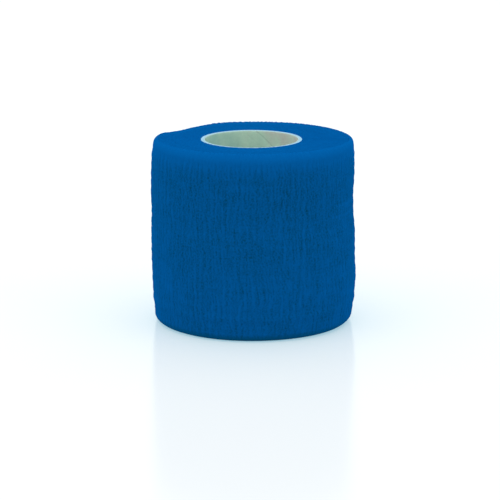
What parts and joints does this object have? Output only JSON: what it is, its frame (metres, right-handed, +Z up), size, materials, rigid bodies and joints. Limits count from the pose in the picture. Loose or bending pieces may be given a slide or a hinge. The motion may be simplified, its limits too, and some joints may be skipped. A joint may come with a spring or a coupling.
{
  "type": "cohesive bandage roll",
  "caption": "Roll of blue crinkled cohesive crepe bandage wound on an open paper core, standing on its end.",
  "frame": {"origin": "on the surface that the roll stands on, under the middle of its outline", "axes": "+Z up along the core, -Y towards the side that the picture shows, +X to that view's right"},
  "size_m": [0.0556, 0.0554, 0.05],
  "materials": {
    "crepe": "matt crinkled non-woven crepe, slightly tacky",
    "core_paper": "uncoated spiral-wound paper with a pale cut rim"
  },
  "bodies": {
    "root": {"bandage_roll": "crepe", "core_tube": "core_paper"}
  },
  "joints": []
}
